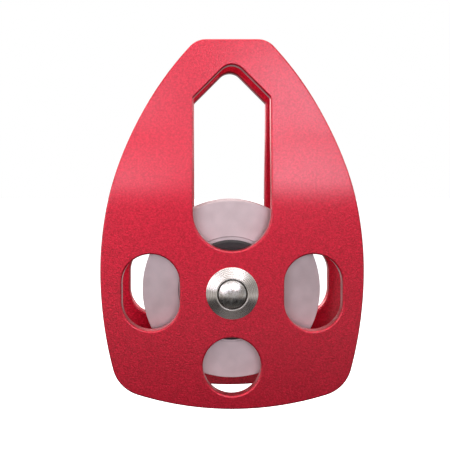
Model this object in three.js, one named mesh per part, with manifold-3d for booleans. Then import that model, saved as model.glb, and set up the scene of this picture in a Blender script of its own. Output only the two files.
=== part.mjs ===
// Swing-cheek rope pulley: two mirrored cheek plates turn freely on one axle, which also carries a
// grooved sheave on a sealed ball bearing. A carabiner goes through the tall windows of both cheeks.
//
// Millimetres, +Z up. The axle lies along Y, the front cheek is on the -Y side. The pulley is drawn
// about its axle, then lowered so that the origin is where the carabiner bears: the top of the
// cheeks' tall windows, midway between the cheeks.

import * as THREE from 'three';
import { mergeVertices } from 'three/addons/utils/BufferGeometryUtils.js';
import Module from 'manifold-3d';

const wasm = await Module();
wasm.setup();

// ---------------------------------------------------------------------------------------------
// Driving dimensions
// ---------------------------------------------------------------------------------------------

const GAP = 0.3;                    // clearance left between neighbouring pieces

// Sheave
const SHEAVE_RADIUS = 50;
const SHEAVE_HALF_WIDTH = 9.5;
const GROOVE_RADIUS = 6.5;          // round seat of the groove, for rope of 12 to 13 mm
const GROOVE_BOTTOM = 41.7;         // distance from the axle to the lowest point of the groove
const GROOVE_SEAT_ANGLE = 60;       // degrees of seat each side of the lowest point
const RIM_ROUND = 0.7;
const POCKET_RADIUS = 29.6;         // shallow pocket that holds the thrust washer
const POCKET_DEPTH = 0.5;

// Cheek plates: |y| of the two faces near the axle, and the joggle that brings the tops together
const CHEEK_INNER = 12.5;
const CHEEK_THICKNESS = 5.5;
const CHEEK_OUTER = CHEEK_INNER + CHEEK_THICKNESS;
const JOGGLE_STEP = 4;
const JOGGLE_START = 46;
const JOGGLE_END = 104;
const JOGGLE_BEND = 20;             // height taken up by each of the joggle's two bends
const SHEET_MARGIN = 5;             // sheet left over round the outline before it is cut

// Cheek outline, seen along the axle
const CHEEK_HALF_WIDTH = 72.1;
const WIDEST_HEIGHT = 11;
const CHEEK_TOP = 139.1;
const CHEEK_BOTTOM = -64.2;
const UPPER_SIDE_RADIUS = 182;
const LOWER_SIDE_RADIUS = 212;
const BOTTOM_RADIUS = 174;
const CROWN_CORNER_RADIUS = 12;
const LOWER_CORNER_RADIUS = 20;

// Tall window
const WINDOW_HALF_WIDTH = 21.4;
const WINDOW_ROUND_CENTRE = 44.1;   // height of the centre of its half-round lower end
const WINDOW_SHOULDER = 106.8;      // height where its 45 degree shoulders start
const WINDOW_SHOULDER_ROUND = 2;
const SEAT_RADIUS = 8;              // round seat for the carabiner, at the window's top
const SEAT_HEIGHT = WINDOW_SHOULDER + WINDOW_HALF_WIDTH - SEAT_RADIUS * (Math.SQRT2 - 1);

// Lightening windows
const SIDE_WINDOW_OFFSET = 44.5;
const SIDE_WINDOW_HALF_WIDTH = 15.9;
const SIDE_WINDOW_HEIGHT = 42.2;
const LOWER_HOLE_RADIUS = 16;
const LOWER_HOLE_HEIGHT = -40.7;

// Axle
const SLEEVE_RADIUS = 10;
const SLEEVE_BORE = 5;
const BUSH_RADIUS = 12;
const BUSH_INSET = 0.1;             // from the cheek's faces to the bush's ends
const SPACER_RADIUS = 13;
const SHANK_RADIUS = SLEEVE_BORE - GAP;
const THREAD_RADIUS = 2.8;
const THREAD_END = 14;
const BOLT_STEP = -1;               // y where the bolt's shank steps down to its thread
const HEAD_RADIUS = 7.5;
const HEAD_TOP = 22.3;              // |y| of the top of both domes
const BOLT_DOME_HEIGHT = 1.7;
const NUT_DOME_HEIGHT = 1.2;
const SOCKET_ACROSS_FLATS = 5;
const SOCKET_DEPTH = 2.6;

// Conical end caps
const CAP_RADIUS = 14.2;
const CAP_TOP_RADIUS = 8.9;
const CAP_BASE = CHEEK_OUTER + GAP;
const CAP_RIM = 0.6;
const CAP_HEIGHT = 2.8;
const CAP_FLOOR = 0.8;
const CAP_RECESS_RADIUS = 8.2;
const CAP_BORE = SHANK_RADIUS + 0.5;

// Lock washer
const LOCK_WASHER_THICKNESS = 1;
const LOCK_WASHER_INNER = 5.1;
const LOCK_WASHER_OUTER = 7.3;
const LOCK_WASHER_OPENING = 4;      // degrees from the middle of its split to its end

// Ball bearing, 20 x 47 x 14
const BEARING_RADIUS = 23.5;
const BEARING_HALF_WIDTH = 7;
const BALL_COUNT = 8;
const BALL_RADIUS = 3.97;
const BALL_CIRCLE = 16.75;
const TRACK_RADIUS = 4.2;
const SHOULDER_DEPTH = 3.25;        // from the ball circle out, or in, to a race's shoulder
const SEAL_SEAT = 5.7;              // |y| of the step that each seal sits against
const SEAL_START = SEAL_SEAT + 0.2;
const SEAL_OUTER = 20.6;
const SEAL_INNER = 13.9;
const SEAL_THICKNESS = 0.9;
const CAGE_INNER = 15.7;
const CAGE_OUTER = 17.8;
const CAGE_HALF_WIDTH = 5.2;
const CAGE_POCKET_DEPTH = 10;       // length of the round cutter that opens each ball's pocket

// Retaining rings
const RING_START = 7.35;
const RING_THICKNESS = 1;
const RING_INNER = 21.2;
const RING_OUTER = 24.6;
const RING_SLOT_RADIUS = 24.95;
const RING_SLOT_CLEARANCE = 0.15;
const RING_OPENING = 14;            // degrees from the middle of the ring's gap to its end
const RING_LUG_DEGREES = 7;
const RING_LUG_DEPTH = 1.6;
const RING_EYE_RADIUS = 0.6;

// Thrust washers
const THRUST_WASHER_OUTER = 27.9;
const THRUST_WASHER_INNER = 13.6;

// Facets
const ARC_SEGMENTS = 8;             // curveSegments of an extruded outline
const BEND_FACETS = 5;              // steps in each bend of the joggle
const PROFILE_STEPS = 4;            // steps in an arc of a turned profile
const SHEAVE_SEGMENTS = 48;
const DISC_SEGMENTS = 36;
const SHAFT_SEGMENTS = 24;
const RACE_SEGMENTS = 32;
const POCKET_SEGMENTS = 12;
const EYE_SEGMENTS = 8;
const BALL_SEGMENTS = [10, 6];

// ---------------------------------------------------------------------------------------------
// Materials
// ---------------------------------------------------------------------------------------------

function material(color, roughness, metalness) {
  return new THREE.MeshStandardMaterial({ color, roughness, metalness });
}

const redAnodised = material(0xb4253a, 0.42, 0.7);
const satinAluminium = material(0xb8abae, 0.45, 0.9);
const stainless = material(0xc9c6c0, 0.25, 1);
const bearingSteel = material(0xa9acb0, 0.2, 1);
const blackPlastic = material(0x1b191a, 0.5, 0);
const bronze = material(0x9c7440, 0.4, 0.9);
const springSteel = material(0x55565a, 0.35, 0.9);

// ---------------------------------------------------------------------------------------------
// Geometry helpers
// ---------------------------------------------------------------------------------------------

const radians = THREE.MathUtils.degToRad;

// Position-only geometry with merged vertices and outward faces.
function solid(geometry) {
  geometry.deleteAttribute('normal');
  geometry.deleteAttribute('uv');
  const merged = mergeVertices(geometry, 1e-4);
  const p = merged.attributes.position;
  const index = merged.index.array;
  const a = new THREE.Vector3();
  const b = new THREE.Vector3();
  const c = new THREE.Vector3();
  const kept = [];
  let volume = 0;
  for (let i = 0; i < index.length; i += 3) {
    const [ia, ib, ic] = [index[i], index[i + 1], index[i + 2]];
    if (ia === ib || ib === ic || ic === ia) continue;
    kept.push(ia, ib, ic);
    a.fromBufferAttribute(p, ia);
    b.fromBufferAttribute(p, ib);
    c.fromBufferAttribute(p, ic);
    volume += a.dot(b.cross(c));
  }
  if (volume < 0) kept.reverse();
  merged.setIndex(kept);
  return merged;
}

function toManifold(geometry) {
  const closed = solid(geometry);
  return new wasm.Manifold(new wasm.Mesh({
    numProp: 3,
    vertProperties: new Float32Array(closed.attributes.position.array),
    triVerts: new Uint32Array(closed.index.array),
  }));
}

function fromManifold(body) {
  const { vertProperties, triVerts } = body.getMesh();
  const geometry = new THREE.BufferGeometry();
  geometry.setAttribute('position', new THREE.BufferAttribute(vertProperties, 3));
  geometry.setIndex(new THREE.BufferAttribute(triVerts, 1));
  return geometry;
}

// Body of revolution about Y. The profile is a list of [radius, y]; a ring's profile is closed.
function turned(profile, segments, isRing = true) {
  const points = profile.map(([r, y]) => new THREE.Vector2(r, y));
  if (isRing) points.push(points[0].clone());
  return solid(new THREE.LatheGeometry(points, segments));
}

// Plain ring of rectangular section between two radii and two y values.
function ring(inner, outer, start, end, segments) {
  return turned([[inner, start], [outer, start], [outer, end], [inner, end]], segments);
}

// Extrudes an outline drawn in X and Z along Y, from y = start to y = end.
function plate(shape, start, end) {
  const geometry = new THREE.ExtrudeGeometry(shape, {
    depth: end - start,
    bevelEnabled: false,
    curveSegments: ARC_SEGMENTS,
  });
  geometry.rotateX(Math.PI / 2);
  geometry.translate(0, end, 0);
  return solid(geometry);
}

// Points of an arc as [radius, y] pairs, for turned profiles.
function profileArc(centreRadius, centreY, radius, fromDegrees, toDegrees) {
  const points = [];
  for (let i = 0; i <= PROFILE_STEPS; i++) {
    const angle = radians(fromDegrees + (toDegrees - fromDegrees) * i / PROFILE_STEPS);
    points.push([centreRadius + radius * Math.cos(angle), centreY + radius * Math.sin(angle)]);
  }
  return points;
}

// ---------------------------------------------------------------------------------------------
// Cheek plates
// ---------------------------------------------------------------------------------------------

// Centre of a round of the given radius that lies inside two circles and touches both. Of the two
// such centres, this is the one to the lower right.
function roundInside(first, second, radius) {
  const r1 = first.radius - radius;
  const r2 = second.radius - radius;
  const dx = second.x - first.x;
  const dz = second.z - first.z;
  const distance = Math.hypot(dx, dz);
  const along = (r1 * r1 - r2 * r2 + distance * distance) / (2 * distance);
  const across = Math.sqrt(r1 * r1 - along * along);
  return {
    x: first.x + (along * dx + across * dz) / distance,
    z: first.z + (along * dz - across * dx) / distance,
    radius,
  };
}

function bearingAngle(from, to) {
  return Math.atan2(to.z - from.z, to.x - from.x);
}

function cheekOutline() {
  const bottom = { x: 0, z: CHEEK_BOTTOM + BOTTOM_RADIUS, radius: BOTTOM_RADIUS };
  const lowerSide = {
    x: CHEEK_HALF_WIDTH - LOWER_SIDE_RADIUS,
    z: WIDEST_HEIGHT,
    radius: LOWER_SIDE_RADIUS,
  };
  const upperSide = {
    x: CHEEK_HALF_WIDTH - UPPER_SIDE_RADIUS,
    z: WIDEST_HEIGHT,
    radius: UPPER_SIDE_RADIUS,
  };
  const lowerCorner = roundInside(lowerSide, bottom, LOWER_CORNER_RADIUS);
  const crownCornerHeight = CHEEK_TOP - CROWN_CORNER_RADIUS;
  const crownReach = UPPER_SIDE_RADIUS - CROWN_CORNER_RADIUS;
  const crownCorner = {
    x: upperSide.x + Math.sqrt(crownReach ** 2 - (crownCornerHeight - WIDEST_HEIGHT) ** 2),
    z: crownCornerHeight,
    radius: CROWN_CORNER_RADIUS,
  };
  const bottomEnd = bearingAngle(bottom, lowerCorner);
  const lowerSideStart = bearingAngle(lowerSide, lowerCorner);
  const upperSideEnd = bearingAngle(upperSide, crownCorner);

  // The arcs of the right half, from the middle of the bottom up to the crown.
  const arcs = [
    [bottom, -Math.PI / 2, bottomEnd],
    [lowerCorner, bottomEnd, lowerSideStart],
    [lowerSide, lowerSideStart, 0],
    [upperSide, 0, upperSideEnd],
    [crownCorner, upperSideEnd, Math.PI / 2],
  ];
  const shape = new THREE.Shape();
  for (const [circle, start, end] of arcs) {
    shape.absarc(circle.x, circle.z, circle.radius, start, end, false);
  }
  for (const [circle, start, end] of arcs.reverse()) {
    shape.absarc(-circle.x, circle.z, circle.radius, Math.PI - end, Math.PI - start, false);
  }
  return shape;
}

function tallWindow() {
  const path = new THREE.Path();
  const round = WINDOW_SHOULDER_ROUND;
  const roundX = WINDOW_HALF_WIDTH - round;
  const roundZ = WINDOW_SHOULDER - round * Math.tan(Math.PI / 8);
  const seatCentre = SEAT_HEIGHT - SEAT_RADIUS;
  path.absarc(0, WINDOW_ROUND_CENTRE, WINDOW_HALF_WIDTH, -Math.PI, 0, false);
  path.absarc(roundX, roundZ, round, 0, Math.PI / 4, false);
  path.absarc(0, seatCentre, SEAT_RADIUS, Math.PI / 4, 3 * Math.PI / 4, false);
  path.absarc(-roundX, roundZ, round, 3 * Math.PI / 4, Math.PI, false);
  return path;
}

function sideWindow(side) {
  const path = new THREE.Path();
  const x = side * SIDE_WINDOW_OFFSET;
  const straight = SIDE_WINDOW_HEIGHT / 2 - SIDE_WINDOW_HALF_WIDTH;
  path.absarc(x, straight, SIDE_WINDOW_HALF_WIDTH, 0, Math.PI, false);
  path.absarc(x, -straight, SIDE_WINDOW_HALF_WIDTH, Math.PI, 2 * Math.PI, false);
  return path;
}

function roundHole(z, radius) {
  const path = new THREE.Path();
  path.absarc(0, z, radius, 0, Math.PI, false);
  path.absarc(0, z, radius, Math.PI, 2 * Math.PI, false);
  return path;
}

// How far the plate has stepped towards the other cheek at height z: two equal and opposite bends
// with a straight slope between them.
function joggle(z) {
  const length = JOGGLE_END - JOGGLE_START;
  const slope = JOGGLE_STEP / (length - JOGGLE_BEND);
  const up = THREE.MathUtils.clamp(z - JOGGLE_START, 0, length);
  const left = length - up;
  if (up < JOGGLE_BEND) return slope * up * up / (2 * JOGGLE_BEND);
  if (left < JOGGLE_BEND) return JOGGLE_STEP - slope * left * left / (2 * JOGGLE_BEND);
  return slope * (up - JOGGLE_BEND / 2);
}

// The bent sheet before it is cut to its outline: its section in Y and Z, drawn out along X.
function bentSheet() {
  const heights = [CHEEK_BOTTOM - SHEET_MARGIN];
  for (const bendStart of [JOGGLE_START, JOGGLE_END - JOGGLE_BEND]) {
    for (let i = 0; i <= BEND_FACETS; i++) {
      heights.push(bendStart + JOGGLE_BEND * i / BEND_FACETS);
    }
  }
  heights.push(CHEEK_TOP + SHEET_MARGIN);
  const outerFace = heights.map((z) => new THREE.Vector2(-CHEEK_OUTER + joggle(z), z));
  const innerFace = heights.map((z) => new THREE.Vector2(-CHEEK_INNER + joggle(z), z));
  const section = new THREE.Shape([...outerFace, ...innerFace.reverse()]);
  const length = 2 * (CHEEK_HALF_WIDTH + SHEET_MARGIN);
  const geometry = new THREE.ExtrudeGeometry(section, { depth: length, bevelEnabled: false });
  geometry.translate(0, 0, -length / 2);
  geometry.applyMatrix4(new THREE.Matrix4().makeBasis(
    new THREE.Vector3(0, 1, 0), new THREE.Vector3(0, 0, 1), new THREE.Vector3(1, 0, 0)));
  return geometry;
}

function cheekPlate() {
  const outline = cheekOutline();
  outline.holes.push(tallWindow());
  outline.holes.push(sideWindow(-1));
  outline.holes.push(sideWindow(1));
  outline.holes.push(roundHole(LOWER_HOLE_HEIGHT, LOWER_HOLE_RADIUS));
  outline.holes.push(roundHole(0, BUSH_RADIUS + GAP));
  const cutter = toManifold(plate(outline, -CHEEK_OUTER - SHEET_MARGIN, 0));
  return fromManifold(toManifold(bentSheet()).intersect(cutter));
}

// ---------------------------------------------------------------------------------------------
// Sheave
// ---------------------------------------------------------------------------------------------

// Half of the sheave's section on the +Y side, from the bearing seat out to the groove's bottom.
function sheaveHalfProfile() {
  const bore = BEARING_RADIUS + GAP;
  const slotStart = RING_START - RING_SLOT_CLEARANCE;
  const slotEnd = RING_START + RING_THICKNESS + RING_SLOT_CLEARANCE;
  const pocketFloor = SHEAVE_HALF_WIDTH - POCKET_DEPTH;
  const seatCentre = GROOVE_BOTTOM + GROOVE_RADIUS;
  const seat = profileArc(seatCentre, 0, GROOVE_RADIUS, 180 - GROOVE_SEAT_ANGLE, 180);
  const [seatEndRadius, seatEndY] = seat[0];
  const wallSlope = 1 / Math.tan(radians(GROOVE_SEAT_ANGLE));
  const rimRadius = SHEAVE_RADIUS - RIM_ROUND;
  const rimY = seatEndY + (rimRadius - seatEndRadius) * wallSlope;
  return [
    [bore, slotStart],
    [RING_SLOT_RADIUS, slotStart],
    [RING_SLOT_RADIUS, slotEnd],
    [bore, slotEnd],
    [bore, pocketFloor],
    [POCKET_RADIUS, pocketFloor],
    [POCKET_RADIUS, SHEAVE_HALF_WIDTH],
    [rimRadius, SHEAVE_HALF_WIDTH],
    [SHEAVE_RADIUS, (SHEAVE_HALF_WIDTH + rimY) / 2],
    [rimRadius, rimY],
    ...seat,
  ];
}

function sheave() {
  const half = sheaveHalfProfile();
  const otherHalf = half.slice(0, -1).map(([r, y]) => [r, -y]).reverse();
  return turned([...half, ...otherHalf], SHEAVE_SEGMENTS);
}

// ---------------------------------------------------------------------------------------------
// Ball bearing
// ---------------------------------------------------------------------------------------------

function outerRace() {
  const shoulder = BALL_CIRCLE + SHOULDER_DEPTH;
  const sealRecess = SEAL_OUTER + GAP;
  const trackAngle = THREE.MathUtils.radToDeg(Math.acos(SHOULDER_DEPTH / TRACK_RADIUS));
  return turned([
    [BEARING_RADIUS, -BEARING_HALF_WIDTH],
    [BEARING_RADIUS, BEARING_HALF_WIDTH],
    [sealRecess, BEARING_HALF_WIDTH],
    [sealRecess, SEAL_SEAT],
    [shoulder, SEAL_SEAT],
    ...profileArc(BALL_CIRCLE, 0, TRACK_RADIUS, trackAngle, -trackAngle),
    [shoulder, -SEAL_SEAT],
    [sealRecess, -SEAL_SEAT],
    [sealRecess, -BEARING_HALF_WIDTH],
  ], RACE_SEGMENTS);
}

function innerRace() {
  const bore = SLEEVE_RADIUS + GAP;
  const shoulder = BALL_CIRCLE - SHOULDER_DEPTH;
  const trackAngle = THREE.MathUtils.radToDeg(Math.acos(SHOULDER_DEPTH / TRACK_RADIUS));
  return turned([
    [bore, -BEARING_HALF_WIDTH],
    [bore, BEARING_HALF_WIDTH],
    [shoulder, BEARING_HALF_WIDTH],
    ...profileArc(BALL_CIRCLE, 0, TRACK_RADIUS, 180 - trackAngle, 180 + trackAngle),
    [shoulder, -BEARING_HALF_WIDTH],
  ], SHAFT_SEGMENTS);
}

function ballPlace(number) {
  const angle = 2 * Math.PI * number / BALL_COUNT;
  return new THREE.Vector3(BALL_CIRCLE * Math.sin(angle), 0, BALL_CIRCLE * Math.cos(angle));
}

function bearingCage() {
  let cage = toManifold(
    ring(CAGE_INNER, CAGE_OUTER, -CAGE_HALF_WIDTH, CAGE_HALF_WIDTH, SHAFT_SEGMENTS));
  for (let number = 0; number < BALL_COUNT; number++) {
    const pocket = new THREE.CylinderGeometry(
      TRACK_RADIUS, TRACK_RADIUS, CAGE_POCKET_DEPTH, POCKET_SEGMENTS);
    pocket.rotateX(Math.PI / 2);
    pocket.translate(0, 0, BALL_CIRCLE);
    pocket.rotateY(2 * Math.PI * number / BALL_COUNT);
    cage = cage.subtract(toManifold(pocket));
  }
  return fromManifold(cage);
}

// ---------------------------------------------------------------------------------------------
// Axle and its fittings. Those that repeat are drawn for the rear, +Y side.
// ---------------------------------------------------------------------------------------------

function domeProfile(height) {
  const radius = (HEAD_RADIUS ** 2 + height ** 2) / (2 * height);
  const edge = THREE.MathUtils.radToDeg(Math.acos(HEAD_RADIUS / radius));
  const arc = profileArc(0, HEAD_TOP - radius, radius, edge, 90);
  arc[arc.length - 1][0] = 0;
  return arc;
}

function axleBolt() {
  const underHead = CAP_BASE + CAP_FLOOR + GAP;
  const dome = domeProfile(BOLT_DOME_HEIGHT).reverse().map(([r, y]) => [r, -y]);
  return turned([
    ...dome,
    [HEAD_RADIUS, -underHead],
    [SHANK_RADIUS, -underHead],
    [SHANK_RADIUS, BOLT_STEP],
    [THREAD_RADIUS, BOLT_STEP],
    [THREAD_RADIUS, THREAD_END],
    [0, THREAD_END],
  ], SHAFT_SEGMENTS, false);
}

function axleNut() {
  const underHead = CAP_BASE + CAP_FLOOR + LOCK_WASHER_THICKNESS + 2 * GAP;
  const threadHole = THREAD_RADIUS + GAP;
  const body = toManifold(turned([
    [0, THREAD_END + 1],
    [threadHole, THREAD_END + 1],
    [threadHole, BOLT_STEP + GAP],
    [SHANK_RADIUS, BOLT_STEP + GAP],
    [SHANK_RADIUS, underHead],
    [HEAD_RADIUS, underHead],
    ...domeProfile(NUT_DOME_HEIGHT),
  ], SHAFT_SEGMENTS, false));
  const socketRadius = SOCKET_ACROSS_FLATS / Math.sqrt(3);
  const socket = new THREE.CylinderGeometry(socketRadius, socketRadius, 2 * SOCKET_DEPTH, 6);
  socket.translate(0, HEAD_TOP, 0);
  return fromManifold(body.subtract(toManifold(socket)));
}

// Flat ring with a gap at its top, as an outline in X and Z.
function splitRing(inner, outer, openingDegrees) {
  const start = Math.PI / 2 + radians(openingDegrees);
  const end = Math.PI * 2.5 - radians(openingDegrees);
  const middle = (start + end) / 2;
  const shape = new THREE.Shape();
  shape.absarc(0, 0, outer, start, middle, false);
  shape.absarc(0, 0, outer, middle, end, false);
  shape.absarc(0, 0, inner, end, middle, true);
  shape.absarc(0, 0, inner, middle, start, true);
  return shape;
}

function retainingRing() {
  const end = RING_START + RING_THICKNESS;
  let body = toManifold(
    plate(splitRing(RING_INNER, RING_OUTER, RING_OPENING), RING_START, end));
  const lugMiddle = RING_INNER - RING_LUG_DEPTH / 2;
  const lugTurn = radians(RING_OPENING + RING_LUG_DEGREES / 2);
  for (const side of [-1, 1]) {
    const lug = new THREE.CylinderGeometry(
      RING_LUG_DEPTH, RING_LUG_DEPTH, RING_THICKNESS, POCKET_SEGMENTS);
    const eye = new THREE.CylinderGeometry(
      RING_EYE_RADIUS, RING_EYE_RADIUS, 3 * RING_THICKNESS, EYE_SEGMENTS);
    for (const piece of [lug, eye]) {
      piece.translate(0, RING_START + RING_THICKNESS / 2, lugMiddle);
      piece.rotateY(side * lugTurn);
    }
    body = body.add(toManifold(lug)).subtract(toManifold(eye));
  }
  return fromManifold(body);
}

function endCap() {
  const top = CAP_BASE + CAP_HEIGHT;
  const floor = CAP_BASE + CAP_FLOOR;
  return turned([
    [CAP_BORE, CAP_BASE],
    [CAP_RADIUS, CAP_BASE],
    [CAP_RADIUS, CAP_BASE + CAP_RIM],
    [CAP_TOP_RADIUS, top],
    [CAP_RECESS_RADIUS, top],
    [CAP_RECESS_RADIUS, floor],
    [CAP_BORE, floor],
  ], DISC_SEGMENTS);
}

function lockWasher() {
  const start = CAP_BASE + CAP_FLOOR + GAP;
  return plate(splitRing(LOCK_WASHER_INNER, LOCK_WASHER_OUTER, LOCK_WASHER_OPENING), start,
    start + LOCK_WASHER_THICKNESS);
}

// ---------------------------------------------------------------------------------------------
// Assembly
// ---------------------------------------------------------------------------------------------

const pulley = new THREE.Group();

function addPiece(parent, name, geometry, pieceMaterial) {
  const mesh = new THREE.Mesh(geometry, pieceMaterial);
  mesh.name = name;
  parent.add(mesh);
  return mesh;
}

function addCheek(side, turn) {
  const cheek = new THREE.Group();
  cheek.rotation.z = turn;
  addPiece(cheek, `${side}_cheek_plate`, cheekPlate(), redAnodised);
  const bush = ring(SLEEVE_RADIUS + GAP, BUSH_RADIUS, -CHEEK_OUTER + BUSH_INSET,
    -CHEEK_INNER - BUSH_INSET, SHAFT_SEGMENTS);
  addPiece(cheek, `${side}_cheek_bush`, bush, bronze);
  pulley.add(cheek);
}

// The fittings on one side of the sheave, drawn at +Y and turned about Z to face their side.
function addAxleFittings(side, turn) {
  const fittings = new THREE.Group();
  fittings.rotation.z = turn;
  addPiece(fittings, `end_cap_${side}`, endCap(), stainless);
  addPiece(fittings, `retaining_ring_${side}`, retainingRing(), springSteel);
  const washer = ring(THRUST_WASHER_INNER, THRUST_WASHER_OUTER,
    SHEAVE_HALF_WIDTH - POCKET_DEPTH + GAP, CHEEK_INNER - GAP, DISC_SEGMENTS);
  addPiece(fittings, `thrust_washer_${side}`, washer, blackPlastic);
  const spacer = ring(SLEEVE_RADIUS + GAP, SPACER_RADIUS, BEARING_HALF_WIDTH + GAP,
    CHEEK_INNER - GAP, SHAFT_SEGMENTS);
  addPiece(fittings, `spacer_ring_${side}`, spacer, stainless);
  const seal = ring(SEAL_INNER, SEAL_OUTER, SEAL_START, SEAL_START + SEAL_THICKNESS,
    SHAFT_SEGMENTS);
  addPiece(fittings, `bearing_seal_${side}`, seal, blackPlastic);
  pulley.add(fittings);
}

addCheek('front', 0);
addCheek('rear', Math.PI);
addAxleFittings('front', Math.PI);
addAxleFittings('rear', 0);
addPiece(pulley, 'sheave', sheave(), satinAluminium);
addPiece(pulley, 'bearing_outer_race', outerRace(), bearingSteel);
addPiece(pulley, 'bearing_inner_race', innerRace(), bearingSteel);
addPiece(pulley, 'bearing_cage', bearingCage(), springSteel);
for (let number = 0; number < BALL_COUNT; number++) {
  const geometry = solid(new THREE.SphereGeometry(BALL_RADIUS, ...BALL_SEGMENTS));
  const ball = addPiece(pulley, `bearing_ball_${number + 1}`, geometry, bearingSteel);
  ball.position.copy(ballPlace(number));
}
const sleeve = ring(SLEEVE_BORE, SLEEVE_RADIUS, -CHEEK_OUTER, CHEEK_OUTER, SHAFT_SEGMENTS);
addPiece(pulley, 'axle_sleeve', sleeve, stainless);
addPiece(pulley, 'axle_bolt', axleBolt(), stainless);
addPiece(pulley, 'axle_nut', axleNut(), stainless);
addPiece(pulley, 'lock_washer', lockWasher(), springSteel);

pulley.position.z = -SEAT_HEIGHT;

export default pulley;
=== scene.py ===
"""A swing-cheek rope pulley: red anodised cheeks, a turned aluminium sheave and a steel axle.

Every piece is drawn in millimetres about the axle, with the front cheek on -Y, and is then moved
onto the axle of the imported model.
"""

import math

import bpy
import numpy as np
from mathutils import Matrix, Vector
from mathutils.geometry import delaunay_2d_cdt


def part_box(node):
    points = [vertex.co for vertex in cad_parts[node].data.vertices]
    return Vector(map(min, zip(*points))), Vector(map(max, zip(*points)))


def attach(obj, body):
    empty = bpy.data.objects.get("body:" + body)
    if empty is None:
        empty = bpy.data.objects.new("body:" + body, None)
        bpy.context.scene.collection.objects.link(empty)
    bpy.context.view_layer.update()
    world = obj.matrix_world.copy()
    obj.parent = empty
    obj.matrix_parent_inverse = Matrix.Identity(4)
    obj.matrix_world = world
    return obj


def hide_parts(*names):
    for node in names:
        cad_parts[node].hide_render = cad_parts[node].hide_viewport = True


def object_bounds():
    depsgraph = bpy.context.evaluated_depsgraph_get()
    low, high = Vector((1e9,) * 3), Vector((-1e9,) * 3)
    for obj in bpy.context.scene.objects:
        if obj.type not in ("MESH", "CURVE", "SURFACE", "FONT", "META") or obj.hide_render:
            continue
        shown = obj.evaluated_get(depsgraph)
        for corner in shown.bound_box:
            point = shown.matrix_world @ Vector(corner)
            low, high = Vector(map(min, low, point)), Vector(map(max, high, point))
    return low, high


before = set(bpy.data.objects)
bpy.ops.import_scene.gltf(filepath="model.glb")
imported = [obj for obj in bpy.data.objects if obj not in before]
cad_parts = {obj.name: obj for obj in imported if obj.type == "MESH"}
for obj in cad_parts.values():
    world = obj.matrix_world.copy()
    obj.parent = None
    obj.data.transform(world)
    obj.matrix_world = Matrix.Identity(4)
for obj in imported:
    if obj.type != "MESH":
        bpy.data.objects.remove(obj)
cad_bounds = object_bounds()

MM = 0.001
sheave_low, sheave_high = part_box("sheave")
AXLE = (Vector(sheave_low) + Vector(sheave_high)) / 2

# ----------------------------------------------------------------------------------------------
# Driving dimensions, in millimetres about the axle
# ----------------------------------------------------------------------------------------------

GAP = 0.3                   # clearance between neighbouring pieces

SHEAVE_RADIUS = 50
SHEAVE_HALF_WIDTH = 9.5
GROOVE_RADIUS = 6.5
GROOVE_BOTTOM = 41.7
GROOVE_SEAT_ANGLE = 60
POCKET_RADIUS = 29.6
POCKET_DEPTH = 0.5

CHEEK_INNER = 12.5
CHEEK_OUTER = 18
JOGGLE_STEP = 4
JOGGLE_START = 46
JOGGLE_END = 104
JOGGLE_BEND = 20            # height taken up by each of the joggle's two bends

CHEEK_HALF_WIDTH = 72.1
WIDEST_HEIGHT = 11
CHEEK_TOP = 139.1
CHEEK_BOTTOM = -64.2
UPPER_SIDE_RADIUS = 182
LOWER_SIDE_RADIUS = 212
BOTTOM_RADIUS = 174
CROWN_CORNER_RADIUS = 12
LOWER_CORNER_RADIUS = 20

WINDOW_HALF_WIDTH = 21.4
WINDOW_ROUND_CENTRE = 44.1
WINDOW_SHOULDER = 106.8
WINDOW_SHOULDER_ROUND = 2
SEAT_RADIUS = 8
SEAT_HEIGHT = WINDOW_SHOULDER + WINDOW_HALF_WIDTH - SEAT_RADIUS * (math.sqrt(2) - 1)

SIDE_WINDOW_OFFSET = 44.5
SIDE_WINDOW_HALF_WIDTH = 15.9
SIDE_WINDOW_HEIGHT = 42.2
LOWER_HOLE_RADIUS = 16
LOWER_HOLE_HEIGHT = -40.7

EDGE_ROUND = 1.0            # rounded arris of the cheek plates

SLEEVE_RADIUS = 10
SLEEVE_BORE = 5
SLEEVE_BEVEL = 0.4
BUSH_RADIUS = 12
BUSH_INSET = 0.1            # how far the bushes' ends lie below the cheeks' faces
BUSH_BEVEL = 0.3
SPACER_RADIUS = 13
SHANK_RADIUS = SLEEVE_BORE - GAP

THRUST_WASHER_RADIUS = 27.9

HEAD_RADIUS = 7.5
HEAD_TOP = 22.3             # |y| of the top of both domes
BOLT_DOME_HEIGHT = 1.7
NUT_DOME_HEIGHT = 1.2
THREAD_RADIUS = 2.8
THREAD_END = 14
BOLT_STEP = -1              # y where the bolt's shank steps down to its thread
SOCKET_ACROSS_FLATS = 5
SOCKET_DEPTH = 2.6
SOCKET_BEVEL = 0.35
SOCKET_DRILL_POINT = 0.6    # depth of the cone at the socket's floor

CAP_RADIUS = 14.2
CAP_TOP_RADIUS = 8.9
CAP_RECESS_RADIUS = 8.2
CAP_BORE = SHANK_RADIUS + 0.5
CAP_BASE = CHEEK_OUTER + GAP
CAP_FLOOR = CAP_BASE + 0.8
CAP_TOP = CAP_BASE + 2.8
CAP_RIM = 0.6

LOCK_WASHER_THICKNESS = 1
LOCK_WASHER_INNER = 5.1
LOCK_WASHER_OUTER = 7.3
LOCK_WASHER_OPENING = 4     # degrees from the middle of the washer's split to its end

BEARING_RADIUS = 23.5
BEARING_HALF_WIDTH = 7
BALL_COUNT = 8
BALL_RADIUS = 3.97
BALL_CIRCLE = 16.75
TRACK_RADIUS = 4.2
SHOULDER_DEPTH = 3.25
SEAL_SEAT = 5.7
SEAL_OUTER = 20.6
SEAL_INNER = 13.9
SEAL_THICKNESS = 0.9

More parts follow.
